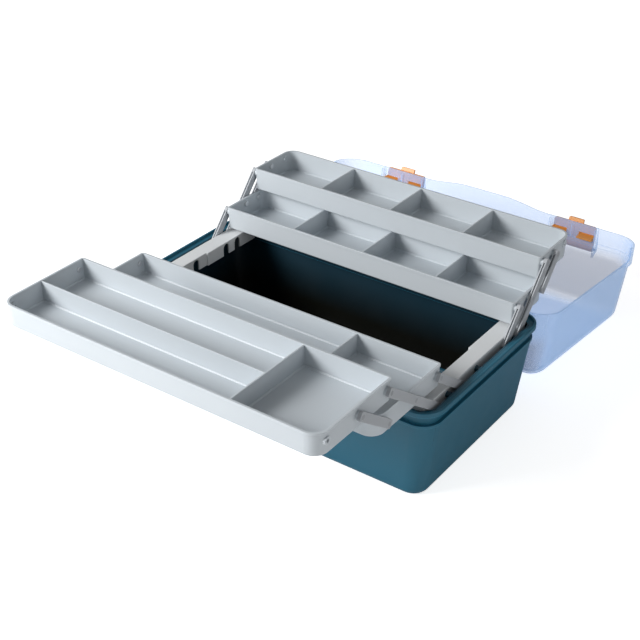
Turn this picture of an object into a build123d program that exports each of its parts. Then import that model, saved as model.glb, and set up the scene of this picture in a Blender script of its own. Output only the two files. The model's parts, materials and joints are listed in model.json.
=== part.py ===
from build123d import *
import os
from math import asin, atan2, cos, degrees, hypot, radians, sin, sqrt, tan

# Cantilever tackle box, shown open: four trays on parallel links and a lid laid back behind the tub.
# Millimetres. X runs along the box, Y from front to rear, Z up.
# The origin is the centre of the tub's underside.

# Tub
tub_floor_length = 426.0
tub_floor_width = 235.0
tub_shoulder_length = 451.0
tub_shoulder_width = 248.0
tub_shoulder_height = 102.0
tub_wall = 2.8
tub_floor_corner = 20.0
tub_shoulder_corner = 24.0
tub_edge_radius = 9.0
shoulder_bead = 0.8
shoulder_bead_height = 3.0
neck_inset = 3.7
neck_drop = 3.0
rim_gap = 13.0
rim_depth = 5.5
rim_reach = 4.0
rim_wall = 2.8
rim_web = 2.5
rim_round = 1.1

# Lid
lid_lap = 4.5
lid_play = 1.5
lid_wall = 2.5
lid_draft = 5.0
lid_top_radius = 20.0
lid_floor_gap = 0.3
lid_tray_gap = 2.5
apron_drop = 20.9
apron_dip = 7.0
apron_dip_flat = 56.0
apron_dip_width = 196.0
apron_rise = 6.0
apron_wall = 2.8
apron_step = 2.6
apron_bevel = 2.6
apron_reach = 38.0
apron_rib_width = 2.6

# Lid hinge
hinge_offset = 5.5
hinge_end_distance = 80.5
knuckle_radius = 4.5
knuckle_width = 20.0
knuckle_gusset = 16.0
lug_width = 9.0
hinge_gap = 0.4
hinge_pin_radius = 1.5
running_clearance = 0.05

# Latches
latch_end_distance = 88.5
latch_width = 62.0
latch_wall = 2.8
latch_corner = 3.0
latch_side_gap = 1.5
latch_face_gap = 0.8
latch_barrel_radius = 3.8
latch_pivot_rise = 12.4
latch_edge_drop = 31.5
latch_tab_drop = 36.5
latch_tab_width = 22.0
latch_tab_lean = 2.6
latch_ridge_radius = 0.6
latch_ridge_pitch = 2.2
latch_hook_split = 18.6
latch_hook_reach = 11.7
latch_hook_height = 5.1
latch_hook_nose = 2.2
latch_catch_gap = 0.4
latch_window_gap = 0.8
latch_window_height = 9.6
latch_lug_width = 3.0
latch_lug_cover = 0.7
latch_pin_radius = 1.5
left_latch_swing = 12.0
right_latch_swing = 4.0

# Carry handle in the lid's top
handle_length = 132.0
handle_depth = 36.0
handle_bar = 12.0
handle_leg = 13.0
handle_thickness = 10.0
handle_gap = 2.5
handle_pocket_depth = 15.0
handle_sink = 1.5
handle_corner = 10.0
handle_grip_round = 3.0
handle_leg_round = 4.8
handle_pin_radius = 2.0

# Trays. Folded up, the two stacks meet at a seam over the tub.
stack_seam = 20.25
seam_gap = 2.9
front_stack_gap = 10.5
rear_stack_gap = 15.2
tray_side_gap = 1.0
tray_wall = 2.0
tray_floor = 2.2
tray_draft = 1.2
tray_lip = 0.8
tray_lip_height = 2.2
tray_edge_radius = 2.0
tray_hinge_corner = 4.0
divider_wall = 1.8
divider_drop = 0.4
front_tray_height = 27.5
front_tray_corner = 18.0
front_near_margin = 10.0
front_far_margin = 14.6
front_rim_to_pivot = 11.0
lane_pivot_gap = 6.2
rear_tray_height = 29.8
rear_tray_corner = 15.0
rear_near_margin = 6.8
rear_far_margin = 17.5
rear_pitch_change = 4.3
rear_rim_to_pivot = 8.2

# Links. The step up from a pivot to the next is a tray's height and this much more, folded or open.
front_folded_gap = 4.3
front_open_gap = 8.1
rear_folded_gap = 3.1
rear_open_gap = 4.0
link_side_gap = 2.2
link_width = 10.4
link_thickness = 4.4
link_end = 4.8
link_corner = 2.6
link_slot_width = 1.5
link_slot_depth = 3.0
link_slot_margin = 6.5
link_gap = 0.4

# Rivets at the pivots
rivet_radius = 2.0
rivet_head_radius = 3.6
rivet_head_height = 1.2
rivet_flare_radius = 3.0
rivet_flare_height = 0.9
pivot_boss_radius = 4.6
pivot_boss_gap = 0.2
pivot_boss_rise = 0.5
spare_boss_reach = 0.3

# Side brackets
bracket_width = 19.6
bracket_step = 2.2
bracket_step_station = 16.5
bracket_wall = 2.0
bracket_end_gap = 4.5
bracket_rise = 1.1
bracket_outer_skirt = 17.5
bracket_inner_skirt = 18.0
bracket_slot_width = 11.0
front_pivot_drop = 9.8
rear_pivot_drop = 8.6
front_screw_offset = 25.5
rear_screw_offset = 17.3
middle_screw_station = -4.0
spare_slot_offset = 5.3
screw_drop = 8.4
screw_radius = 1.5
screw_head_radius = 3.2
screw_head_height = 2.0
screw_boss_radius = 3.6
screw_length = 10.0

# Tub, lid and hinge sizes that follow
tub_height = tub_shoulder_height + rim_gap + rim_depth
rim_bottom = tub_shoulder_height + rim_gap
neck_height = tub_height - neck_drop
neck_inner_x = tub_shoulder_length / 2 - neck_inset - tub_wall
neck_inner_y = tub_shoulder_width / 2 - neck_inset - tub_wall
rim_half_x = tub_shoulder_length / 2 + rim_reach
rim_half_y = tub_shoulder_width / 2 + rim_reach
rim_corner = tub_shoulder_corner + rim_reach
lid_rim_height = tub_height - lid_lap
lid_half_x = rim_half_x + lid_play + lid_wall
lid_half_y = rim_half_y + lid_play + lid_wall
lid_corner = rim_corner + lid_play + lid_wall
apron_out = apron_wall + apron_step - lid_wall
hinge_y = rim_half_y + hinge_offset
hinge_station = tub_shoulder_length / 2 - hinge_end_distance
latch_station = tub_shoulder_length / 2 - latch_end_distance
hinge_lug_step = (knuckle_width + lug_width + 2 * hinge_gap) / 2

# Tray and link sizes that follow
link_outer = neck_inner_x - link_side_gap
link_inner = link_outer - link_thickness
tray_half = link_inner - tray_side_gap - tray_lip
tray_seat = tray_half - tray_lip - tray_wall - pivot_boss_rise
divider_pitch = (2 * (tray_half - tray_lip - tray_wall) + divider_wall) / 4
front_tray_depth = neck_inner_y - front_stack_gap + stack_seam - seam_gap / 2
rear_tray_depth = neck_inner_y - rear_stack_gap - stack_seam - seam_gap / 2
front_pitch = (front_tray_depth - front_near_margin - front_far_margin) / 2
front_lane_split = front_near_margin + front_pitch + lane_pivot_gap
rear_pitch = (rear_tray_depth - rear_near_margin - rear_far_margin + rear_pitch_change) / 2
rear_upper_pitch = rear_pitch - rear_pitch_change
front_fold_height = front_tray_height + front_folded_gap
rear_fold_height = rear_tray_height + rear_folded_gap
front_step_up = front_tray_height + front_open_gap
rear_step_up = rear_tray_height + rear_open_gap
front_step_out = sqrt(front_pitch ** 2 + front_fold_height ** 2 - front_step_up ** 2)
rear_step_out = sqrt(rear_pitch ** 2 + rear_fold_height ** 2 - rear_step_up ** 2)

# Bracket sizes and the pivots in it
bracket_outer = link_inner - link_gap
bracket_inner = bracket_outer - bracket_width
bracket_length = 2 * (neck_inner_y - bracket_end_gap)
bracket_top = tub_height + bracket_rise
screw_height = bracket_top - screw_drop
front_pivot_y = stack_seam - seam_gap / 2 - front_near_margin - front_pitch
rear_pivot_y = stack_seam + seam_gap / 2 + rear_near_margin + rear_pitch
front_pivot_height = bracket_top - front_pivot_drop
rear_pivot_height = bracket_top - rear_pivot_drop
screw_stations = (front_pivot_y - front_screw_offset, middle_screw_station, rear_pivot_y + rear_screw_offset)
bracket_slot_stations = screw_stations + (rear_pivot_y - spare_slot_offset,)

# Lid height, over the taller folded stack and under the handle's pocket
front_stack_top = front_pivot_height + 2 * front_fold_height + front_rim_to_pivot
rear_stack_top = rear_pivot_height + 2 * rear_fold_height + rear_rim_to_pivot
lid_top = max(front_stack_top, rear_stack_top) + lid_tray_gap + lid_wall + handle_pocket_depth
lid_depth = lid_top - lid_rim_height

# The lid lies open on its top's far edge, just off the ground
lid_slope = tan(radians(lid_draft))
lid_edge_depth = lid_depth - lid_top_radius
lid_edge_reach = hinge_y + lid_half_y - lid_edge_depth * lid_slope - lid_top_radius / cos(radians(lid_draft))
lid_edge_drop = lid_rim_height - lid_top_radius - lid_floor_gap
lid_edge_angle = atan2(lid_edge_depth, lid_edge_reach)
lid_tilt = degrees(asin(lid_edge_drop / hypot(lid_edge_reach, lid_edge_depth)) - lid_edge_angle)


def plate(half_x, half_y, corner, height):
    """Rounded rectangle centred on the Z axis at a height."""
    return Pos(0, 0, height) * RectangleRounded(2 * half_x, 2 * half_y, corner)


def slab(half_x, half_y, corner, low, high):
    """Straight-sided block on a rounded rectangle."""
    return extrude(plate(half_x, half_y, corner, low), high - low)


def block(x0, x1, y0, y1, z0, z1):
    """Box between two corners."""
    return Pos((x0 + x1) / 2, (y0 + y1) / 2, (z0 + z1) / 2) * Box(x1 - x0, y1 - y0, z1 - z0)


def rod(radius, x0, x1, y, z):
    """Cylinder along X."""
    return Pos((x0 + x1) / 2, y, z) * Rot(0, 90, 0) * Cylinder(radius, abs(x1 - x0))


def cross_section(points, x0, x1):
    """Outline of (y, z) points, extruded along X."""
    outline = Plane.YZ.offset(x0) * make_face(Polyline(*points, close=True))
    return extrude(outline, x1 - x0)


def other_side(shape):
    """The same piece at the other end of the box."""
    return mirror(shape, about=Plane.YZ)


def tub():
    """Tub with a stepped neck, a lipped rim, hinge lugs and screw bosses."""
    shoulder_x = tub_shoulder_length / 2
    shoulder_y = tub_shoulder_width / 2
    floor_x = tub_floor_length / 2
    floor_y = tub_floor_width / 2
    body = loft([plate(floor_x, floor_y, tub_floor_corner, 0),
                 plate(shoulder_x, shoulder_y, tub_shoulder_corner, tub_shoulder_height)], ruled=True)
    body = fillet(body.faces().sort_by(Axis.Z)[0].edges(), tub_edge_radius)
    body += slab(shoulder_x + shoulder_bead, shoulder_y + shoulder_bead, tub_shoulder_corner + shoulder_bead,
                 tub_shoulder_height - shoulder_bead_height, tub_shoulder_height)
    neck_x = neck_inner_x + tub_wall
    neck_y = neck_inner_y + tub_wall
    neck_corner = tub_shoulder_corner - neck_inset
    rim = slab(rim_half_x, rim_half_y, rim_corner, rim_bottom, tub_height)
    rim = fillet(rim.faces().sort_by(Axis.Z)[-1].edges(), rim_round)
    rim -= slab(rim_half_x - rim_wall, rim_half_y - rim_wall, rim_corner - rim_wall,
                rim_bottom + rim_web, tub_height)
    body += rim + slab(neck_x, neck_y, neck_corner, tub_shoulder_height, neck_height)
    cavity = loft([plate(floor_x - tub_wall, floor_y - tub_wall, tub_floor_corner - tub_wall, tub_wall),
                   plate(shoulder_x - tub_wall, shoulder_y - tub_wall, tub_shoulder_corner - tub_wall,
                         tub_shoulder_height - tub_wall)], ruled=True)
    cavity = fillet(cavity.faces().sort_by(Axis.Z)[0].edges(), tub_edge_radius - tub_wall)
    cavity += slab(neck_x - tub_wall, neck_y - tub_wall, neck_corner - tub_wall,
                   tub_shoulder_height - tub_wall, tub_height)
    body -= cavity
    for side in (-1, 1):
        for inner in (-1, 1):
            body += hinge_lug(side * hinge_station + inner * hinge_lug_step)
    for y in screw_stations:
        boss = rod(screw_boss_radius, bracket_outer, neck_x - tub_wall / 2, y, screw_height)
        hole = rod(screw_radius, bracket_outer, bracket_outer - bracket_wall + screw_length, y, screw_height)
        body += boss + other_side(boss)
        body -= hole + other_side(hole)
    return body


def hinge_lug(x):
    """Lug on the tub's rear rim that holds an end of a hinge pin."""
    root = rim_half_y - rim_wall / 2
    web = cross_section([(root, rim_bottom + rim_round), (root, tub_height - rim_round),
                         (hinge_y, lid_rim_height + knuckle_radius),
                         (hinge_y, lid_rim_height - knuckle_radius)], x - lug_width / 2, x + lug_width / 2)
    eye = rod(knuckle_radius, x - lug_width / 2, x + lug_width / 2, hinge_y, lid_rim_height)
    bore = rod(hinge_pin_radius + running_clearance, x - lug_width, x + lug_width, hinge_y, lid_rim_height)
    return web + eye - bore


def lid_form(half_x, half_y, corner, height, top_radius):
    """Tapered block with a rounded top."""
    draw_in = height * lid_slope
    narrow = plate(half_x - draw_in, half_y - draw_in, corner - draw_in, lid_rim_height + height)
    form = loft([plate(half_x, half_y, corner, lid_rim_height), narrow], ruled=True)
    return fillet(form.faces().sort_by(Axis.Z)[-1].edges(), top_radius)


def lid():
    """Lid with its front apron, latch lugs, hinge knuckles and handle pocket, in the closed position."""
    shell = lid_form(lid_half_x, lid_half_y, lid_corner, lid_depth, lid_top_radius)
    shell += apron()
    low = lid_rim_height - apron_drop
    front = -lid_half_y - apron_out
    lug_step = latch_width / 2 + latch_side_gap + latch_lug_width / 2
    for side in (-1, 1):
        for edge in (-1, 1):
            shell += latch_lug(side * latch_station + edge * lug_step)
    shell -= lid_form(lid_half_x - lid_wall, lid_half_y - lid_wall, lid_corner - lid_wall,
                      lid_depth - lid_wall, lid_top_radius - lid_wall)
    inset = lid_wall - apron_step
    shell -= slab(lid_half_x - inset, lid_half_y - inset, lid_corner - inset,
                  low - apron_dip - 1, lid_rim_height)
    rib_y = -lid_half_y + lid_wall
    for side in (-1, 1):
        for edge in (-1, 0, 1):
            x = side * latch_station + edge * lug_step
            shell += block(x - apron_rib_width / 2, x + apron_rib_width / 2, rib_y - apron_step - 0.5, rib_y,
                           low + apron_step, lid_rim_height + 0.5)
    pocket_x = handle_length / 2 + handle_gap
    pocket_y = handle_depth / 2 + handle_gap
    shell += slab(pocket_x + lid_wall, pocket_y + lid_wall, handle_corner + lid_wall,
                  lid_top - handle_pocket_depth - lid_wall, lid_top - lid_wall / 2)
    shell -= slab(pocket_x, pocket_y, handle_corner, lid_top - handle_pocket_depth, lid_top + 1)
    for side in (-1, 1):
        x = side * latch_station
        window_top = rim_bottom + latch_window_gap
        for edge in (-1, 1):
            ends = sorted(edge * reach for reach in (latch_hook_split / 2 - latch_window_gap,
                                                     latch_width / 2 + latch_window_gap))
            shell -= block(x + ends[0], x + ends[1], front - 1, rib_y + 1,
                           window_top - latch_window_height, window_top)
        shell -= rod(latch_pin_radius, x - latch_width, x + latch_width, latch_pivot_y, latch_pivot_z)
        shell += hinge_knuckle(side * hinge_station)
        for inner in (-1, 1):
            lug = side * hinge_station + inner * hinge_lug_step
            reach = lug_width / 2 + hinge_gap
            shell -= block(lug - reach, lug + reach, rim_half_y, hinge_y + knuckle_radius,
                           lid_rim_height - 1, lid_rim_height + knuckle_radius + 1.2)
        shell -= rod(hinge_pin_radius + running_clearance, side * hinge_station - knuckle_width,
                     side * hinge_station + knuckle_width, hinge_y, lid_rim_height)
        shell -= rod(handle_pin_radius, side * (pocket_x - 1), side * (pocket_x + lid_wall + 1),
                     handle_pivot_y, handle_pivot_z)
    return shell


def apron():
    """Thicker band round the lid's front edge, deeper between the latches."""
    low = lid_rim_height - apron_drop
    deep = low - apron_dip
    high = lid_rim_height + apron_rise
    size = (lid_half_x + apron_out, lid_half_y + apron_out, lid_corner + apron_out)
    front = -lid_half_y - apron_out
    band = slab(*size, low, high)
    band = chamfer(band.faces().sort_by(Axis.Z)[-1].edges(), apron_bevel)
    band &= block(-lid_half_x * 2, lid_half_x * 2, front - 1, front + apron_reach, low, high)
    flat = apron_dip_flat / 2
    wide = apron_dip_width / 2
    ways = ((1, 0), (1, 0))
    dip = Plane.XZ * make_face([Spline((-wide, low), (-flat, deep), tangents=ways),
                                Line((-flat, deep), (flat, deep)),
                                Spline((flat, deep), (wide, low), tangents=ways),
                                Polyline((wide, low), (wide, low + 1), (-wide, low + 1), (-wide, low))])
    return band + (slab(*size, deep, low + 1) & extrude(dip, 2 * lid_half_y))


def hinge_knuckle(x):
    """Knuckle on the lid's rear rim, with a gusset up the wall."""
    x0, x1 = x - knuckle_width / 2, x + knuckle_width / 2
    wall_y = lid_half_y - lid_wall / 2
    gusset = cross_section([(wall_y, lid_rim_height), (hinge_y, lid_rim_height - knuckle_radius),
                            (hinge_y + knuckle_radius, lid_rim_height),
                            (wall_y - knuckle_gusset * lid_slope, lid_rim_height + knuckle_gusset)], x0, x1)
    return gusset + rod(knuckle_radius, x0, x1, hinge_y, lid_rim_height)


latch_inner_face = -lid_half_y - apron_out - latch_face_gap
latch_pivot_y = latch_inner_face - latch_barrel_radius / 2
latch_pivot_z = lid_rim_height + latch_pivot_rise


def latch_lug(x):
    """Rib beside a latch, which also holds an end of its pin."""
    low = lid_rim_height - apron_drop
    wall_y = -lid_half_y + lid_wall / 2
    radius = latch_barrel_radius + latch_lug_cover
    nose = latch_pivot_y - radius
    ends = (x - latch_lug_width / 2, x + latch_lug_width / 2)
    rib = cross_section([(wall_y, low), (latch_inner_face, low), (nose, latch_pivot_z - radius),
                         (nose, latch_pivot_z), (latch_pivot_y, latch_pivot_z),
                         (latch_pivot_y, latch_pivot_z + radius), (wall_y, latch_pivot_z + 2 * radius)], *ends)
    return rib + rod(radius, *ends, latch_pivot_y, latch_pivot_z)


def latch(swing):
    """Latch with a barrel, a lever, two hooks and a ridged thumb tab, turned out by swing degrees."""
    half = latch_width / 2
    tab_half = latch_tab_width / 2
    face = latch_inner_face
    back = face - latch_wall
    edge_low = latch_pivot_z - latch_edge_drop
    tab_low = latch_pivot_z - latch_tab_drop
    hook_top = rim_bottom - latch_catch_gap
    body = block(-half, half, back, face, edge_low, latch_pivot_z)
    body = fillet(body.edges().filter_by(Axis.Y).group_by(Axis.Z)[0], latch_corner)
    tab_top = edge_low + latch_tab_drop - latch_edge_drop
    tab = cross_section([(face, tab_top), (face - latch_tab_lean, tab_low), (back - latch_tab_lean, tab_low),
                         (back, tab_top + latch_tab_lean)], -tab_half, tab_half)
    tab = fillet(tab.edges().group_by(Axis.Z)[0].filter_by(Axis.Y), latch_corner / 2)
    body += tab
    for step in range(3):
        z = tab_top + latch_tab_lean + latch_ridge_pitch * step
        body += rod(latch_ridge_radius, -tab_half + latch_corner, tab_half - latch_corner, back, z)
    for edge in (-1, 1):
        x0, x1 = sorted((edge * latch_hook_split / 2, edge * half))
        body += cross_section([(back + latch_wall / 2, hook_top), (face + latch_hook_reach, hook_top),
                               (face + latch_hook_reach, hook_top - latch_hook_nose),
                               (face, hook_top - latch_hook_height),
                               (back + latch_wall / 2, hook_top - latch_hook_height)], x0, x1)
    body += rod(latch_barrel_radius, -half, half, latch_pivot_y, latch_pivot_z)
    body -= rod(latch_pin_radius + running_clearance, -half - 1, half + 1, latch_pivot_y, latch_pivot_z)
    turn = Pos(0, latch_pivot_y, latch_pivot_z) * Rot(-swing, 0, 0) * Pos(0, -latch_pivot_y, -latch_pivot_z)
    return turn * body


handle_pivot_y = handle_depth / 2 - handle_thickness / 2
handle_pivot_z = lid_top - handle_sink - handle_thickness / 2


def handle():
    """Folding carry handle: a grip between two legs, flat in its pocket."""
    low = lid_top - handle_sink - handle_thickness
    outline = Rectangle(handle_length, handle_depth)
    outline = fillet(outline.vertices().group_by(Axis.Y)[0], handle_corner)
    window = Pos(0, handle_bar / 2) * Rectangle(handle_length - 2 * handle_leg, handle_depth - handle_bar)
    outline -= fillet(window.vertices().group_by(Axis.Y)[0], handle_corner / 2)
    body = Pos(0, 0, low) * extrude(outline, handle_thickness)
    grip = body.edges().filter_by(Axis.X).sort_by(Axis.Y)[:4]
    body = fillet(grip, handle_grip_round)
    leg_ends = body.edges().filter_by(Axis.X).filter_by_position(Axis.Y, handle_depth / 2 - 0.1,
                                                                 handle_depth / 2 + 0.1)
    body = fillet(leg_ends, handle_leg_round)
    bore = handle_pin_radius + running_clearance
    return body - rod(bore, -handle_length, handle_length, handle_pivot_y, handle_pivot_z)


def handle_pins():
    """Two pins between the handle's legs and the ends of its pocket."""
    inner = handle_length / 2 - handle_leg + 1
    outer = handle_length / 2 + handle_gap + lid_wall
    pin = rod(handle_pin_radius, inner, outer, handle_pivot_y, handle_pivot_z)
    return [pin, other_side(pin)]


def open_lid(shape):
    """Turns a piece of the closed lid back about the hinge axis to where it lies open."""
    return (Pos(0, hinge_y, lid_rim_height) * Rot(-180 - lid_tilt, 0, 0)
            * Pos(0, -hinge_y, -lid_rim_height)) * shape


def tray_outline(front, rear, front_corner, rear_corner, inset, height):
    """Plan of a tray between its front and rear edges, drawn in by inset, at a height."""
    face = Pos(0, (front + rear) / 2, height) * Rectangle(2 * (tray_half - inset), rear - front - 2 * inset)
    face = fillet(face.vertices().group_by(Axis.Y)[0], front_corner - inset)
    return fillet(face.vertices().group_by(Axis.Y)[-1], rear_corner - inset)


def seat_inset(y, front, rear, front_corner, rear_corner):
    """How far a rivet's seat stands in from the straight end wall, to clear the rounded corners."""
    wall = tray_lip + tray_wall
    inset = 0.0
    for edge, corner in ((y - front, front_corner), (rear - y, rear_corner)):
        inner = max(corner - wall, 0.1)
        into_corner = min(corner - (edge - pivot_boss_radius), inner)
        if into_corner > 0:
            inset = max(inset, inner - sqrt(inner ** 2 - into_corner ** 2))
    return inset


def tray_cavity(front, rear, bottom, top, front_corner, rear_corner):
    """Space inside a tray, drawn in towards its floor."""
    sink = (top - bottom) * sin(radians(tray_draft))
    wall = tray_lip + tray_wall
    return loft([tray_outline(front, rear, front_corner, rear_corner, wall + sink, bottom + tray_floor),
                 tray_outline(front, rear, front_corner, rear_corner, wall, top)], ruled=True)


def tray(front, rear, bottom, top, front_corner, rear_corner, pivots, used):
    """Open tray with a lipped rim; pivots are (y, z) points and used says how many carry a rivet."""
    sink = (top - bottom) * sin(radians(tray_draft))
    form = loft([tray_outline(front, rear, front_corner, rear_corner, tray_lip + sink, bottom),
                 tray_outline(front, rear, front_corner, rear_corner, tray_lip, top)], ruled=True)
    form = fillet(form.faces().sort_by(Axis.Z)[0].edges(), tray_edge_radius)
    lip = tray_outline(front, rear, front_corner, rear_corner, 0, top - tray_lip_height)
    form += extrude(lip, tray_lip_height)
    form -= tray_cavity(front, rear, bottom, top, front_corner, rear_corner)
    for number, (y, z) in enumerate(pivots):
        outer = link_inner - pivot_boss_gap if number < used else tray_half + spare_boss_reach
        seat = tray_seat - seat_inset(y, front, rear, front_corner, rear_corner)
        boss = rod(pivot_boss_radius, seat, outer, y, z)
        hole = rod(rivet_radius + running_clearance, seat - 1, link_outer, y, z)
        form += boss + other_side(boss)
        form -= hole + other_side(hole)
    return form


def front_tray_place(near_y, near_z):
    """Front edge, rear edge, bottom and top of a front tray, from its nearest pivot."""
    rear = near_y + front_near_margin
    top = near_z + front_rim_to_pivot
    return rear - front_tray_depth, rear, top - front_tray_height, top


def rear_tray_place(near_y, near_z):
    """Front edge, rear edge, bottom and top of a rear tray, from its nearest pivot."""
    front = near_y - rear_near_margin
    top = near_z + rear_rim_to_pivot
    return front, front + rear_tray_depth, top - rear_tray_height, top


def rear_pivot_offsets(lower):
    """How far each pivot of a rear tray stands behind its first one."""
    return (0, rear_pitch if lower else rear_upper_pitch, rear_pitch + rear_upper_pitch)


def front_tray(near_y, near_z):
    """Deep tray of the front pair."""
    place = front_tray_place(near_y, near_z)
    pivots = [(near_y - step * front_pitch, near_z) for step in range(3)]
    used = 3 if near_z < front_upper_z else 2
    return tray(*place, front_tray_corner, tray_hinge_corner, pivots, used)


def rear_tray(near_y, near_z):
    """Shallow tray of the rear pair."""
    lower = near_z < rear_upper_z
    pivots = [(near_y + offset, near_z) for offset in rear_pivot_offsets(lower)]
    place = rear_tray_place(near_y, near_z)
    return tray(*place, tray_hinge_corner, rear_tray_corner, pivots, 3 if lower else 2)


def front_dividers(near_y, near_z, lanes):
    """Cross wall that leaves a square bin and a long one, which a second wall may split into two lanes."""
    front, rear, bottom, top = front_tray_place(near_y, near_z)
    cavity = tray_cavity(front, rear, bottom, top, front_tray_corner, tray_hinge_corner)
    half = divider_wall / 2
    split = rear - front_lane_split
    walls = [block(divider_pitch - half, divider_pitch + half, front, rear, bottom, top - divider_drop)]
    if lanes == 2:
        walls.append(block(-tray_half, divider_pitch - half, split - half, split + half,
                           bottom, top - divider_drop))
    return Compound([(wall & cavity).solid() for wall in walls])


def rear_dividers(near_y, near_z):
    """Three cross walls that leave four equal bins."""
    front, rear, bottom, top = rear_tray_place(near_y, near_z)
    cavity = tray_cavity(front, rear, bottom, top, tray_hinge_corner, rear_tray_corner)
    half = divider_wall / 2
    walls = [block(x - half, x + half, front, rear, bottom, top - divider_drop)
             for x in (-divider_pitch, 0, divider_pitch)]
    return Compound([(wall & cavity).solid() for wall in walls])


def link(start, end, holes, slot_side):
    """Bar at the right-hand end of the box from one pivot to another, with a slot along one narrow edge."""
    length = hypot(end[0] - start[0], end[1] - start[1])
    angle = degrees(atan2(end[1] - start[1], end[0] - start[0]))
    bar = Pos(length / 2, 0) * RectangleRounded(length + 2 * link_end, link_width, link_corner)
    bar = extrude(bar, link_thickness)
    slot_y = slot_side * (link_width - link_slot_depth) / 2
    slot = Pos(length / 2, slot_y, link_thickness / 2) * Box(length + 2 * (link_end - link_slot_margin),
                                                             link_slot_depth, link_slot_width)
    bar -= slot
    for along in holes:
        bore = Cylinder(rivet_radius + running_clearance, link_thickness)
        sink = Cylinder(rivet_flare_radius + running_clearance, rivet_flare_height)
        bar -= Pos(along * length, 0, link_thickness / 2) * bore
        bar -= Pos(along * length, 0, link_thickness - rivet_flare_height / 2) * sink
    along_x = (0, cos(radians(angle)), sin(radians(angle)))
    place = Plane(origin=(link_inner, start[0], start[1]), x_dir=along_x, z_dir=(1, 0, 0))
    return place.location * bar


def rivet(y, z, seat):
    """Rivet from a head inside the seat's face to a flare let into the link's outer face."""
    flare = link_outer - running_clearance
    body = rod(rivet_radius, seat, flare, y, z)
    head = rod(rivet_head_radius, seat - rivet_head_height, seat, y, z)
    head = fillet(head.faces().sort_by(Axis.X)[0].edges(), rivet_head_height * 0.7)
    end = rod(rivet_flare_radius, flare - rivet_flare_height + 2 * running_clearance, flare, y, z)
    return body + head + end


def bracket():
    """Right-hand side bracket: a flange with an outer skirt for the pivots and a slotted inner skirt."""
    half = bracket_length / 2
    under = bracket_top - bracket_wall
    low = bracket_top - bracket_inner_skirt
    wide_inner = bracket_inner - bracket_step
    body = block(bracket_inner, bracket_outer, -half, half, low, bracket_top)
    body += block(wide_inner, bracket_inner, bracket_step_station, half, low, bracket_top)
    body = fillet(body.edges().filter_by(Axis.Y).group_by(Axis.Z)[-1], bracket_wall * 0.4)
    body -= block(bracket_inner + bracket_wall, bracket_outer - bracket_wall, -half + bracket_wall,
                  bracket_step_station + bracket_wall, low, under)
    body -= block(wide_inner + bracket_wall, bracket_outer - bracket_wall,
                  bracket_step_station + bracket_wall, half - bracket_wall, low, under)
    body -= block(bracket_outer - bracket_wall, bracket_outer, -half, half,
                  low, bracket_top - bracket_outer_skirt)
    for y in bracket_slot_stations:
        width = bracket_slot_width / 2
        crown = under - width
        inner = wide_inner if y > bracket_step_station else bracket_inner
        body -= block(inner - 1, inner + bracket_wall + 1, y - width, y + width, low, crown)
        body -= rod(width, inner - 1, inner + bracket_wall + 1, y, crown)
    inside = bracket_outer - 2 * bracket_wall
    for y in screw_stations:
        body -= rod(screw_radius + running_clearance, inside, bracket_outer + 1, y, screw_height)
    for y, z in bracket_pivots:
        body -= rod(rivet_radius + running_clearance, inside, bracket_outer + 1, y, z)
    return body


def screw(y):
    """Screw through the bracket's outer skirt into the tub."""
    seat = bracket_outer - bracket_wall
    head = rod(screw_head_radius, seat - screw_head_height, seat, y, screw_height)
    head = fillet(head.faces().sort_by(Axis.X)[0].edges(), screw_head_height * 0.5)
    return head + rod(screw_radius, seat, seat + screw_length, y, screw_height)


front_long_y = front_pivot_y - front_pitch
rear_long_y = rear_pivot_y + rear_pitch
front_lower_y = front_pivot_y - front_step_out
front_lower_z = front_pivot_height + front_step_up
front_upper_y = front_long_y - 2 * front_step_out
front_upper_z = front_pivot_height + 2 * front_step_up
rear_lower_y = rear_pivot_y + rear_step_out
rear_lower_z = rear_pivot_height + rear_step_up
rear_upper_y = rear_long_y + 2 * rear_step_out
rear_upper_z = rear_pivot_height + 2 * rear_step_up
bracket_pivots = [(front_pivot_y, front_pivot_height), (front_long_y, front_pivot_height),
                  (rear_pivot_y, rear_pivot_height), (rear_long_y, rear_pivot_height)]

right_links = {
    "front_lower_link": link(bracket_pivots[0], (front_lower_y, front_lower_z), (0, 1), 1),
    "front_long_link": link(bracket_pivots[1], (front_upper_y, front_upper_z), (0, 0.5, 1), 1),
    "front_upper_link": link((front_lower_y - 2 * front_pitch, front_lower_z),
                             (front_upper_y - front_pitch, front_upper_z), (0, 1), 1),
    "rear_lower_link": link(bracket_pivots[2], (rear_lower_y, rear_lower_z), (0, 1), 1),
    "rear_long_link": link(bracket_pivots[3], (rear_upper_y, rear_upper_z), (0, 0.5, 1), 1),
    "rear_upper_link": link((rear_lower_y + rear_pitch + rear_upper_pitch, rear_lower_z),
                            (rear_upper_y + rear_upper_pitch, rear_upper_z), (0, 1), 1),
}


def front_rivets(near_y, z, count):
    """Rivets at both ends of a front tray."""
    rear = near_y + front_near_margin
    edges = (rear - front_tray_depth, rear, front_tray_corner, tray_hinge_corner)
    places = [near_y - step * front_pitch for step in range(count)]
    return both_ends([rivet(y, z, tray_seat - seat_inset(y, *edges)) for y in places])


def rear_rivets(near_y, z, lower):
    """Rivets at both ends of a rear tray."""
    front = near_y - rear_near_margin
    edges = (front, front + rear_tray_depth, tray_hinge_corner, rear_tray_corner)
    places = [near_y + offset for offset in rear_pivot_offsets(lower)[:3 if lower else 2]]
    return both_ends([rivet(y, z, tray_seat - seat_inset(y, *edges)) for y in places])


def both_ends(pieces):
    """The pieces at the right-hand end and their mirror images, as one group."""
    return Compound([solid for piece in pieces for solid in (piece.solid(), other_side(piece).solid())])


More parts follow.
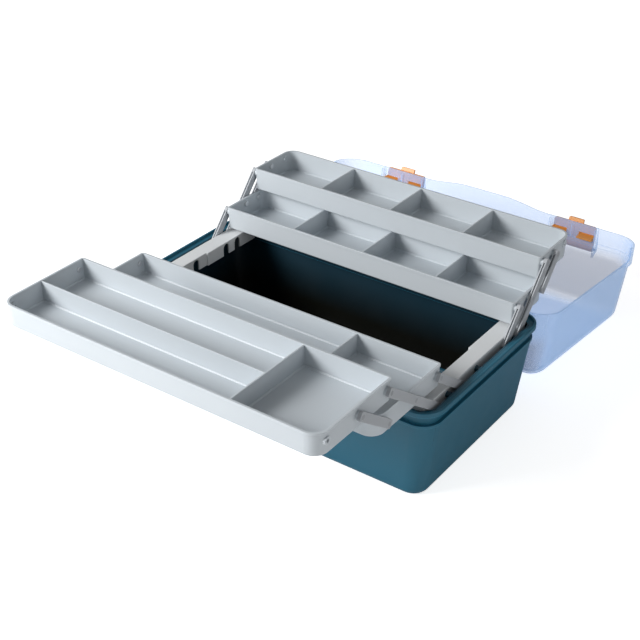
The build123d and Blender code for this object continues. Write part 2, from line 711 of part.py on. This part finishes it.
parts = {
    "base_tub": tub(),
    "right_bracket": bracket(),
    "left_bracket": other_side(bracket()),
    "bracket_screws": both_ends([screw(y) for y in screw_stations]),
    "bracket_rivets": both_ends([rivet(y, z, bracket_outer - bracket_wall) for y, z in bracket_pivots]),
    "lid_shell": open_lid(lid()),
    "carry_handle": open_lid(handle()),
    "handle_pins": open_lid(Compound([pin.solid() for pin in handle_pins()])),
    "front_lower_tray": front_tray(front_lower_y, front_lower_z),
    "front_upper_tray": front_tray(front_upper_y, front_upper_z),
    "rear_lower_tray": rear_tray(rear_lower_y, rear_lower_z),
    "rear_upper_tray": rear_tray(rear_upper_y, rear_upper_z),
    "front_lower_divider": front_dividers(front_lower_y, front_lower_z, 1),
    "front_upper_dividers": front_dividers(front_upper_y, front_upper_z, 2),
    "rear_lower_dividers": rear_dividers(rear_lower_y, rear_lower_z),
    "rear_upper_dividers": rear_dividers(rear_upper_y, rear_upper_z),
    "front_lower_tray_rivets": front_rivets(front_lower_y, front_lower_z, 3),
    "front_upper_tray_rivets": front_rivets(front_upper_y, front_upper_z, 2),
    "rear_lower_tray_rivets": rear_rivets(rear_lower_y, rear_lower_z, True),
    "rear_upper_tray_rivets": rear_rivets(rear_upper_y, rear_upper_z, False),
}
for name, side, swing in (("left", -1, left_latch_swing), ("right", 1, right_latch_swing)):
    pin_end = latch_width / 2 + latch_side_gap + latch_lug_width
    hinge_end = knuckle_width / 2 + hinge_gap + lug_width
    parts[name + "_latch"] = open_lid(Pos(side * latch_station, 0, 0) * latch(swing))
    latch_pin = rod(latch_pin_radius, side * latch_station - pin_end, side * latch_station + pin_end,
                    latch_pivot_y, latch_pivot_z)
    parts[name + "_latch_pin"] = open_lid(latch_pin)
    parts[name + "_hinge_pin"] = rod(hinge_pin_radius, side * hinge_station - hinge_end,
                                     side * hinge_station + hinge_end, hinge_y, lid_rim_height)
for name, piece in right_links.items():
    parts["right_" + name] = piece
    parts["left_" + name] = other_side(piece)

os.makedirs("parts", exist_ok=True)
for name, shape in parts.items():
    export_step(shape, "parts/" + name + ".step")
    print(name, len(shape.solids()), "solids", round(shape.volume), "mm3")
front_swing = degrees(atan2(front_step_up, -front_step_out) - atan2(front_fold_height, front_pitch))
rear_swing = degrees(atan2(rear_fold_height, -rear_pitch) - atan2(rear_step_up, rear_step_out))
print("front swing", round(front_swing, 4), "rear swing", round(rear_swing, 4),
      "lid tilt", round(lid_tilt, 4))
turn = radians(-180 - lid_tilt)
for name, y, z in (("latch pivot", latch_pivot_y, latch_pivot_z),
                   ("handle pivot", handle_pivot_y, handle_pivot_z)):
    over, up = y - hinge_y, z - lid_rim_height
    print(name, round(hinge_y + over * cos(turn) - up * sin(turn), 4),
          round(lid_rim_height + over * sin(turn) + up * cos(turn), 4))
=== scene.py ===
"""Cantilever tackle box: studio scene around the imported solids. Metres, in the solids' own frame."""
import json
import math

import bpy
from mathutils import Matrix, Vector


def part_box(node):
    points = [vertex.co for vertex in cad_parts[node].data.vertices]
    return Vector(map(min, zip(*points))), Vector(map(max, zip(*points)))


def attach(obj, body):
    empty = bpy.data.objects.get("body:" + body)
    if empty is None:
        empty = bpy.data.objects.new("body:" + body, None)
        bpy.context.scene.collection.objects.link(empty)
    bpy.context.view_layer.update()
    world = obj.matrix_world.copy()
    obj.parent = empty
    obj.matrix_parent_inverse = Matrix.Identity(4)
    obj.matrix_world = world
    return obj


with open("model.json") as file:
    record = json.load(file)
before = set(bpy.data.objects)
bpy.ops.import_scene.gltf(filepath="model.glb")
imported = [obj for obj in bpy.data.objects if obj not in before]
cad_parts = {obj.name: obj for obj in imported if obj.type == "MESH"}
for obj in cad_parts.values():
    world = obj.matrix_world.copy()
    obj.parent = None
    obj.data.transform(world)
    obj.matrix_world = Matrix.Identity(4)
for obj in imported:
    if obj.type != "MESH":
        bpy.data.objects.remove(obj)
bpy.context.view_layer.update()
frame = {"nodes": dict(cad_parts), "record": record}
nodes = frame["nodes"]

# Camera: angles in degrees, lens and sensor in millimetres
camera_azimuth = 35.0966
camera_elevation = 31.0167
camera_roll = 0.588
camera_distance = 1.52884
camera_target = Vector((0.001504, -0.006401, 0.101725))
camera_lens = 71.993
camera_sensor = 36.0
camera_near = 0.05
camera_far = 50

# Colours, as linear values
tub_outside = (0.018, 0.138, 0.215)
# Painted shade inside the tub: the upper colour near its rim, the lower near its floor
tub_inside_shade_high = (0.006, 0.036, 0.060)
tub_inside_shade_low = (0.0030, 0.0034, 0.0015)
tray_grey = (0.585, 0.63, 0.665)
bracket_grey = (0.80, 0.82, 0.83)
link_grey = (0.43, 0.45, 0.475)
lid_blue = (0.50, 0.67, 0.94)
# Painted shade: greyer colour of the lid's lower long walls
lid_long_wall_shade = (0.46, 0.46, 0.55)
# Painted light: colour of the glow of the lid, which is no lamp
lid_glow = (0.38, 0.62, 1.0)
latch_orange = (0.98, 0.38, 0.08)
metal_grey = (0.74, 0.75, 0.77)
floor_white = (0.92, 0.92, 0.92)
ambient_tint = (0.97, 0.985, 1.0)

# Light
key_power = 50
key_size = 0.9
key_distance = 2.2
key_direction = (-0.53, -0.70, 0.48)
fill_power = 9
fill_size = 0.7
fill_distance = 2.2
fill_direction = (0.99, -0.12, 0.05)
lamp_aim = Vector((0, 0, 0.1))
ambient_strength = 0.24
floor_size = 14
floor_glow_strength = 0.75

# Plastic in general
plastic_ior = 1.47
coat_roughness = 0.18
cloud_scale = 7.0
streak_stretch = (3.0, 60.0, 60.0)
streak_gain = 1.5
streak_shade = 0.55
gloss_scale = 28.0
gloss_low = 0.82
gloss_high = 1.2
grain_strength = 0.5
bevel_samples = 6
edge_widening = 2.5
edge_turn_none = 0.985
edge_turn_full = 0.80

# Clear lid: its density face on and along its surface, its painted glow, and the painted shade that greys its
# lower long walls
lid_face_alpha = 0.26
lid_edge_alpha = 0.80
lid_edge_blend = 0.30
# Painted light: strength of the lid's glow, and of it on its shaded long walls
lid_glow_strength = 0.25
lid_long_wall_glow = 0.08
# Painted shade on the lid's lower long walls: its density, height, fade and facing
lid_shade_alpha = 0.40
lid_shade_height = 0.088
lid_shade_fade = 0.02
lid_shade_turn_none = 0.35
lid_shade_turn_full = 0.97

# Tub: where the middle of its walls lies. Half length, half width and their sum at a corner.
wall_halves = (0.2117, 0.1160, 0.3155)
wall_growths = (0.1225, 0.0637, 0.1637)
neck_halves = (0.2205, 0.1189, 0.3269)
neck_growths = (0.0, 0.0, 0.0)
floor_middle = 0.0014
bottom_round = 0.0095
neck_bottom = 0.1005
neck_top = 0.1185
# Heights over which the painted shade inside the tub goes from its darkest to its lightest
inside_dark_height = 0.035
inside_light_height = 0.112

# Links: the outer faces of the rivets at their ends
link_outer_face = 0.2155
# Painted shade: rivet ends outside the links darkened from the link grey
link_end_shade = 0.8

# Trays: where their floors, walls and dividers meet, inside
tray_half_length = 0.2106
tray_wall_inset = 0.0034
tray_floor_rise = 0.0022
fillet_leg = 0.0015
fillet_sink = 0.0001
divider_half = 0.0009
divider_pitch = 0.10435
front_corner = 0.018
rear_corner = 0.015
lane_split = 0.0668
lane_slack = 0.001


def node(tree, kind, place, **values):
    """New shader node with inputs or attributes set by name."""
    made = tree.nodes.new(kind)
    made.location = place
    for key, value in values.items():
        name = key.replace("_", " ")
        if name in made.inputs:
            made.inputs[name].default_value = value
        else:
            setattr(made, key, value)
    return made


def fresh(name):
    """New material with an empty tree and its output."""
    material = bpy.data.materials.new(name)
    material.use_nodes = True
    tree = material.node_tree
    tree.nodes.clear()
    out = node(tree, "ShaderNodeOutputMaterial", (900, 0))
    return material, tree, out


def feed(tree, socket, value):
    """Links another socket to this one, or sets it to a number or a colour."""
    if hasattr(value, "links"):
        tree.links.new(value, socket)
    elif isinstance(value, tuple):
        socket.default_value = value + (1,)
    else:
        socket.default_value = value


def blend(tree, place, factor, low, high):
    """Mix of two colours, each a value or a socket, by a socket."""
    made = node(tree, "ShaderNodeMix", place, data_type="RGBA")
    tree.links.new(factor, made.inputs[0])
    feed(tree, made.inputs[6], low)
    feed(tree, made.inputs[7], high)
    return made.outputs[2]


def maths(tree, operation, place, first, second=0.0):
    """Result of an operation on two numbers, each a value or a socket."""
    made = node(tree, "ShaderNodeMath", place, operation=operation)
    feed(tree, made.inputs[0], first)
    feed(tree, made.inputs[1], second)
    return made.outputs[0]


def ramp(tree, place, value, start, end, low=0.0, high=1.0, **options):
    """Value brought from one range to another, and held within it."""
    made = node(tree, "ShaderNodeMapRange", place, From_Min=start, From_Max=end, To_Min=low, To_Max=high,
                **options)
    tree.links.new(value, made.inputs["Value"])
    return made.outputs["Result"]


def axes(tree, place, vector):
    """The three numbers of a vector."""
    made = node(tree, "ShaderNodeSeparateXYZ", place)
    tree.links.new(vector, made.inputs[0])
    return made.outputs["X"], made.outputs["Y"], made.outputs["Z"]


def noise(tree, place, vector, scale, detail):
    """Noise along a vector."""
    made = node(tree, "ShaderNodeTexNoise", place, Scale=scale, Detail=detail)
    tree.links.new(vector, made.inputs["Vector"])
    return made.outputs["Fac"]


def scaled(colour, amount):
    """Colour made lighter or darker."""
    return tuple(min(channel * amount, 1) for channel in colour)


def edge_mask(tree, place, radius):
    """One where the surface turns within a radius, nought on flat faces."""
    across, up = place
    plain = node(tree, "ShaderNodeNewGeometry", place)
    soft = node(tree, "ShaderNodeBevel", (across, up - 200), samples=bevel_samples, Radius=radius)
    dot = node(tree, "ShaderNodeVectorMath", (across + 200, up), operation="DOT_PRODUCT")
    tree.links.new(plain.outputs["Normal"], dot.inputs[0])
    tree.links.new(soft.outputs["Normal"], dot.inputs[1])
    return ramp(tree, (across + 400, up), dot.outputs["Value"], edge_turn_none, edge_turn_full)


def moulded(name, colour, roughness, variation=0.035, grain=1500.0, grain_depth=0.00003, edge=0.0006,
            coat=0.0, edge_highlight_gain=0.0, alter=None):
    """Injection-moulded surface: cloudy colour, uneven gloss, fine grain, edges lightened as a painted
    highlight, and soft corners.

    The function alter, where there is one, changes the colour and gives the mask that it used.
    """
    material, tree, out = fresh(name)
    link = tree.links.new
    base = node(tree, "ShaderNodeBsdfPrincipled", (600, 0), IOR=plastic_ior)
    base.inputs["Coat Weight"].default_value = coat
    base.inputs["Coat Roughness"].default_value = coat_roughness
    coordinates = node(tree, "ShaderNodeTexCoord", (-1100, 0))
    here = coordinates.outputs["Object"]

    cloud = noise(tree, (-900, 200), here, cloud_scale, 5.0)
    tone = blend(tree, (-600, 200), cloud, scaled(colour, 1 - variation), scaled(colour, 1 + variation))
    flow = node(tree, "ShaderNodeMapping", (-900, 480), Scale=streak_stretch)
    link(here, flow.inputs["Vector"])
    streak = noise(tree, (-700, 480), flow.outputs["Vector"], 1.0, 3.0)
    faint = ramp(tree, (-500, 480), streak, 0.0, 1.0, 0.0, variation * streak_gain)
    tone = blend(tree, (-300, 300), faint, tone, scaled(colour, streak_shade))
    mask = None
    if alter:
        tone, mask = alter(tree, coordinates, tone)
    # Painted highlight: edges and rims lightened towards a brighter copy of the colour
    if edge_highlight_gain:
        highlight_mask = edge_mask(tree, (-900, 900), edge * edge_widening)
        tone = blend(tree, (0, 500), highlight_mask, tone, scaled(colour, 1 + edge_highlight_gain))
    link(tone, base.inputs["Base Color"])

    patch = noise(tree, (-900, -100), here, gloss_scale, 4.0)
    gloss = ramp(tree, (-600, -100), patch, 0.0, 1.0, roughness * gloss_low, roughness * gloss_high)
    link(gloss, base.inputs["Roughness"])
    fine = noise(tree, (-900, -400), here, grain, 2.0)
    soft = node(tree, "ShaderNodeBevel", (-600, -600), samples=bevel_samples, Radius=edge)
    bump = node(tree, "ShaderNodeBump", (-200, -400), Strength=grain_strength, Distance=grain_depth)
    link(fine, bump.inputs["Height"])
    link(soft.outputs["Normal"], bump.inputs["Normal"])
    link(bump.outputs["Normal"], base.inputs["Normal"])
    link(base.outputs["BSDF"], out.inputs["Surface"])
    return material, tree, base, mask


def painted_inside_shade(tree, coordinates, tone):
    """Painted shade inside the tub, darker towards its floor; the outside keeps its teal."""
    along, across, height = axes(tree, (-1500, 1300), coordinates.outputs["Object"])
    wide = maths(tree, "ABSOLUTE", (-1300, 1500), along)
    deep = maths(tree, "ABSOLUTE", (-1300, 1300), across)
    corner = maths(tree, "ADD", (-1300, 1700), wide, deep)
    masks = []
    for halves, growths, low, high in ((wall_halves, wall_growths, floor_middle, neck_bottom),
                                       (neck_halves, neck_growths, neck_bottom, neck_top)):
        mask = maths(tree, "GREATER_THAN", (-700, 1200), height, low)
        tests = [maths(tree, "LESS_THAN", (-700, 1000), height, high)]
        for size, half, growth in zip((wide, deep, corner), halves, growths):
            leaning = maths(tree, "MULTIPLY", (-1100, 1500), height, growth)
            reach = maths(tree, "SUBTRACT", (-900, 1500), size, leaning)
            tests.append(maths(tree, "LESS_THAN", (-700, 1500), reach, half))
            under = maths(tree, "SUBTRACT", (-900, 1900), size, half - bottom_round)
            tests.append(maths(tree, "LESS_THAN", (-700, 1900), under, height))
        for test in tests:
            mask = maths(tree, "MULTIPLY", (-500, 1300), mask, test)
        masks.append(mask)
    inside = maths(tree, "MAXIMUM", (-300, 1300), *masks)
    rise = ramp(tree, (-500, 900), height, inside_dark_height, inside_light_height)
    shade = blend(tree, (-300, 1000), rise, tub_inside_shade_low, tub_inside_shade_high)
    return blend(tree, (-100, 900), inside, tone, shade), inside


def shaded_long_walls(tree, coordinates, tone):
    """Painted shade: greyer long walls of the lid, below its apron."""
    facing = maths(tree, "ABSOLUTE", (-700, 1300), axes(tree, (-900, 1300), coordinates.outputs["Normal"])[1])
    long_wall = ramp(tree, (-500, 1300), facing, lid_shade_turn_none, lid_shade_turn_full,
                     interpolation_type="SMOOTHSTEP")
    height = axes(tree, (-900, 1500), coordinates.outputs["Object"])[2]
    below = ramp(tree, (-500, 1500), height, lid_shade_height, lid_shade_height - lid_shade_fade,
                 interpolation_type="SMOOTHSTEP")
    wall_shade = maths(tree, "MULTIPLY", (-300, 1400), long_wall, below)
    return blend(tree, (-100, 900), wall_shade, tone, lid_long_wall_shade), wall_shade


def clear_plastic(name, colour, roughness):
    """Tinted clear plastic, denser where it is seen along its surface and where painted shade greys its long
    walls.
    """
    material, tree, base, wall_shade = moulded(name, colour, roughness, variation=0.05, grain=260.0,
                                          grain_depth=0.00004, edge=0.0010, coat=0.3, alter=shaded_long_walls)
    graze = node(tree, "ShaderNodeLayerWeight", (-400, 700), Blend=lid_edge_blend)
    alpha = ramp(tree, (-100, 700), graze.outputs["Facing"], 0.0, 1.0, lid_face_alpha, lid_edge_alpha)
    dense = maths(tree, "MULTIPLY", (100, 900), wall_shade, lid_shade_alpha)
    feed(tree, base.inputs["Alpha"], maths(tree, "MAXIMUM", (300, 800), alpha, dense))
    # Painted light: the lid glows, weaker on its shaded long walls
    loss = maths(tree, "MULTIPLY", (100, 1100), wall_shade, lid_glow_strength - lid_long_wall_glow)
    glow = maths(tree, "SUBTRACT", (300, 1100), lid_glow_strength, loss)
    feed(tree, base.inputs["Emission Strength"], glow)
    feed(tree, base.inputs["Emission Color"], lid_glow)
    return material


def metal(name, colour, roughness):
    """Satin metal with faint turning marks."""
    material, _, base, _ = moulded(name, colour, roughness, variation=0.05, grain=700.0,
                                   grain_depth=0.00002, edge=0.0003)
    base.inputs["Metallic"].default_value = 1.0
    return material


def rivet_ends(tree, coordinates, tone):
    """Dull ends on the links' outer faces, darker than the links with painted shade."""
    sideways = axes(tree, (-900, 1300), coordinates.outputs["Object"])[0]
    distance = maths(tree, "ABSOLUTE", (-700, 1300), sideways)
    outer = maths(tree, "GREATER_THAN", (-500, 1300), distance, link_outer_face)
    return blend(tree, (-100, 900), outer, tone, scaled(link_grey, link_end_shade)), outer


def rivet_metal(name, colour, roughness):
    """Bright rivet heads; the flared ends outside the links are dull like the links, and darker with painted
    shade.
    """
    material, tree, base, outer = moulded(name, colour, roughness, variation=0.04, grain=700.0,
                                          grain_depth=0.00002, edge=0.0003, alter=rivet_ends)
    feed(tree, base.inputs["Metallic"], maths(tree, "SUBTRACT", (300, -700), 1.0, outer))
    return material


finishes = {
    "tub_plastic": moulded("tub_teal", tub_outside, 0.42, 0.06, coat=0.1, edge_highlight_gain=0.9, alter=painted_inside_shade)[0],
    "tray_plastic": moulded("tray_grey", tray_grey, 0.42, 0.02, edge_highlight_gain=0.22)[0],
    "bracket_plastic": moulded("bracket_grey", bracket_grey, 0.42, 0.02, edge_highlight_gain=0.2)[0],
    "link_plastic": moulded("link_grey", link_grey, 0.4, 0.04, edge_highlight_gain=0.35)[0],
    "lid_plastic": clear_plastic("lid_blue", lid_blue, 0.20),
    "latch_plastic": moulded("latch_orange", latch_orange, 0.3, 0.05, edge_highlight_gain=0.1)[0],
    "handle_plastic": moulded("handle_orange", latch_orange, 0.34, 0.05, edge_highlight_gain=0.1)[0],
    "rivet_metal": rivet_metal("rivet_metal", metal_grey, 0.28),
    "steel": metal("pin_steel", metal_grey, 0.33),
}
for part in frame["record"]["subparts"]:
    for slot in nodes[part["node"]].material_slots:
        slot.material = finishes[part["material_slot"]]


def prism(vertices, faces, start, end, wall, floor, toward, along_x):
    """Adds a strip with a right-angled section between a wall and a floor."""
    first = len(vertices)
    for along in (start, end):
        for out, rise in ((0.0, 0.0), (toward * fillet_leg, 0.0), (0.0, fillet_leg)):
            across = wall + out
            vertices.append((along, across, floor + rise) if along_x else (across, along, floor + rise))
    a, b, c, d, e, f = range(first, first + 6)
    faces.extend([(a, c, b), (d, e, f), (a, b, e, d), (b, c, f, e), (c, a, d, f)])


def floor_fillets(body, round_at_front, corner, dividers, lanes):
    """Small fillets where a tray's floor meets its walls and dividers.

    The two corners on one long side are round, so the strips stop short of them. Dividers are the places
    of the cross walls. Lanes are the places of the long walls inside, each with the place where it ends.
    """
    low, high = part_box(body)
    x_start, x_end = tray_wall_inset - tray_half_length, tray_half_length - tray_wall_inset
    y_start, y_end = low[1] + tray_wall_inset, high[1] - tray_wall_inset
    floor = low[2] + tray_floor_rise - fillet_sink
    vertices, faces = [], []
    columns = [x_start] + dividers + [x_end]
    for left, right in zip(columns[:-1], columns[1:]):
        start = left if left == x_start else left + divider_half
        end = right if right == x_end else right - divider_half
        near = corner if left == x_start else 0.0
        far = corner if right == x_end else 0.0
        rows = [y_start] + [y for y, reach in lanes if right <= reach + lane_slack] + [y_end]
        for bottom, top in zip(rows[:-1], rows[1:]):
            y_low = bottom if bottom == y_start else bottom + divider_half
            y_high = top if top == y_end else top - divider_half
            round_low = bottom == y_start and round_at_front
            round_high = top == y_end and not round_at_front
            prism(vertices, faces, start + near * round_high, end - far * round_high,
                  y_high, floor, -1, True)
            prism(vertices, faces, start + near * round_low, end - far * round_low,
                  y_low, floor, 1, True)
            for wall, toward, curved in ((start, 1, near), (end, -1, far)):
                prism(vertices, faces, y_low + curved * round_low, y_high - curved * round_high,
                      wall, floor, toward, False)
    mesh = bpy.data.meshes.new(body + "_fillets")
    mesh.from_pydata(vertices, [], faces)
    mesh.update()
    made = bpy.data.objects.new(body + "_fillets", mesh)
    bpy.context.scene.collection.objects.link(made)
    mesh.materials.append(finishes["tray_plastic"])
    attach(made, body)


for tray in ("front_lower_tray", "front_upper_tray"):
    rear_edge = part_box(tray)[1][1]
    long_walls = [(rear_edge - lane_split, divider_pitch)] if tray == "front_upper_tray" else []
    floor_fillets(tray, True, front_corner, [divider_pitch], long_walls)
for tray in ("rear_lower_tray", "rear_upper_tray"):
    floor_fillets(tray, False, rear_corner, [-divider_pitch, 0.0, divider_pitch], [])


def camera():
    """Camera where the photograph was taken from."""
    azimuth, elevation, roll = (math.radians(a) for a in (camera_azimuth, camera_elevation, camera_roll))
    back = Vector((math.sin(azimuth) * math.cos(elevation), -math.cos(azimuth) * math.cos(elevation),
                   math.sin(elevation)))
    right = Vector((math.cos(azimuth), math.sin(azimuth), 0))
    up = back.cross(right)
    across = right * math.cos(roll) + up * math.sin(roll)
    upward = -right * math.sin(roll) + up * math.cos(roll)
    data = bpy.data.cameras.new("camera")
    data.lens = camera_lens
    data.sensor_width = camera_sensor
    data.clip_start = camera_near
    data.clip_end = camera_far
    made = bpy.data.objects.new("camera", data)
    place = Matrix((across, upward, back)).transposed().to_4x4()
    place.translation = camera_target + back * camera_distance
    made.matrix_world = place
    bpy.context.scene.collection.objects.link(made)
    bpy.context.scene.camera = made


def lamp(name, direction, distance, size, power):
    """Square soft light aimed at the middle of the part."""
    data = bpy.data.lights.new(name, "AREA")
    data.size = size
    data.energy = power
    made = bpy.data.objects.new(name, data)
    made.location = lamp_aim + Vector(direction).normalized() * distance
    made.rotation_mode = "QUATERNION"
    made.rotation_quaternion = (lamp_aim - made.location).to_track_quat("-Z", "Y")
    bpy.context.scene.collection.objects.link(made)


def seen_rays(tree, place):
    """One for rays from the camera, straight or through clear plastic."""
    rays = node(tree, "ShaderNodeLightPath", place)
    return maths(tree, "MAXIMUM", (place[0] + 200, place[1]), rays.outputs["Is Camera Ray"],
                 rays.outputs["Is Transmission Ray"])


def surround():
    """World that lights the part evenly and is seen as white."""
    world = bpy.data.worlds.new("studio")
    bpy.context.scene.world = world
    world.use_nodes = True
    tree = world.node_tree
    tree.nodes.clear()
    ambient = node(tree, "ShaderNodeBackground", (0, 100), Color=ambient_tint + (1,),
                   Strength=ambient_strength)
    white = node(tree, "ShaderNodeBackground", (0, -100), Color=(1, 1, 1, 1), Strength=1.0)
    mix = node(tree, "ShaderNodeMixShader", (250, 0))
    out = node(tree, "ShaderNodeOutputWorld", (450, 0))
    tree.links.new(seen_rays(tree, (-700, 0)), mix.inputs[0])
    tree.links.new(ambient.outputs[0], mix.inputs[1])
    tree.links.new(white.outputs[0], mix.inputs[2])
    tree.links.new(mix.outputs[0], out.inputs[0])


def ground():
    """Matt white floor that takes the shadow and is seen a little brighter than it is lit."""
    bpy.ops.mesh.primitive_plane_add(size=floor_size, location=(0, 0, 0))
    floor = bpy.context.object
    floor.name = "floor"
    material, tree, out = fresh("floor_white")
    matt = node(tree, "ShaderNodeBsdfDiffuse", (0, 0), Color=floor_white + (1,))
    glow = node(tree, "ShaderNodeEmission", (200, -200))
    strength = maths(tree, "MULTIPLY", (0, -200), seen_rays(tree, (-700, -200)), floor_glow_strength)
    tree.links.new(strength, glow.inputs["Strength"])
    both = node(tree, "ShaderNodeAddShader", (450, 0))
    tree.links.new(matt.outputs[0], both.inputs[0])
    tree.links.new(glow.outputs[0], both.inputs[1])
    tree.links.new(both.outputs[0], out.inputs["Surface"])
    floor.data.materials.append(material)


camera()
surround()
ground()
lamp("key", key_direction, key_distance, key_size, key_power)
lamp("fill", fill_direction, fill_distance, fill_size, fill_power)
bpy.context.scene.view_settings.view_transform = "Standard"
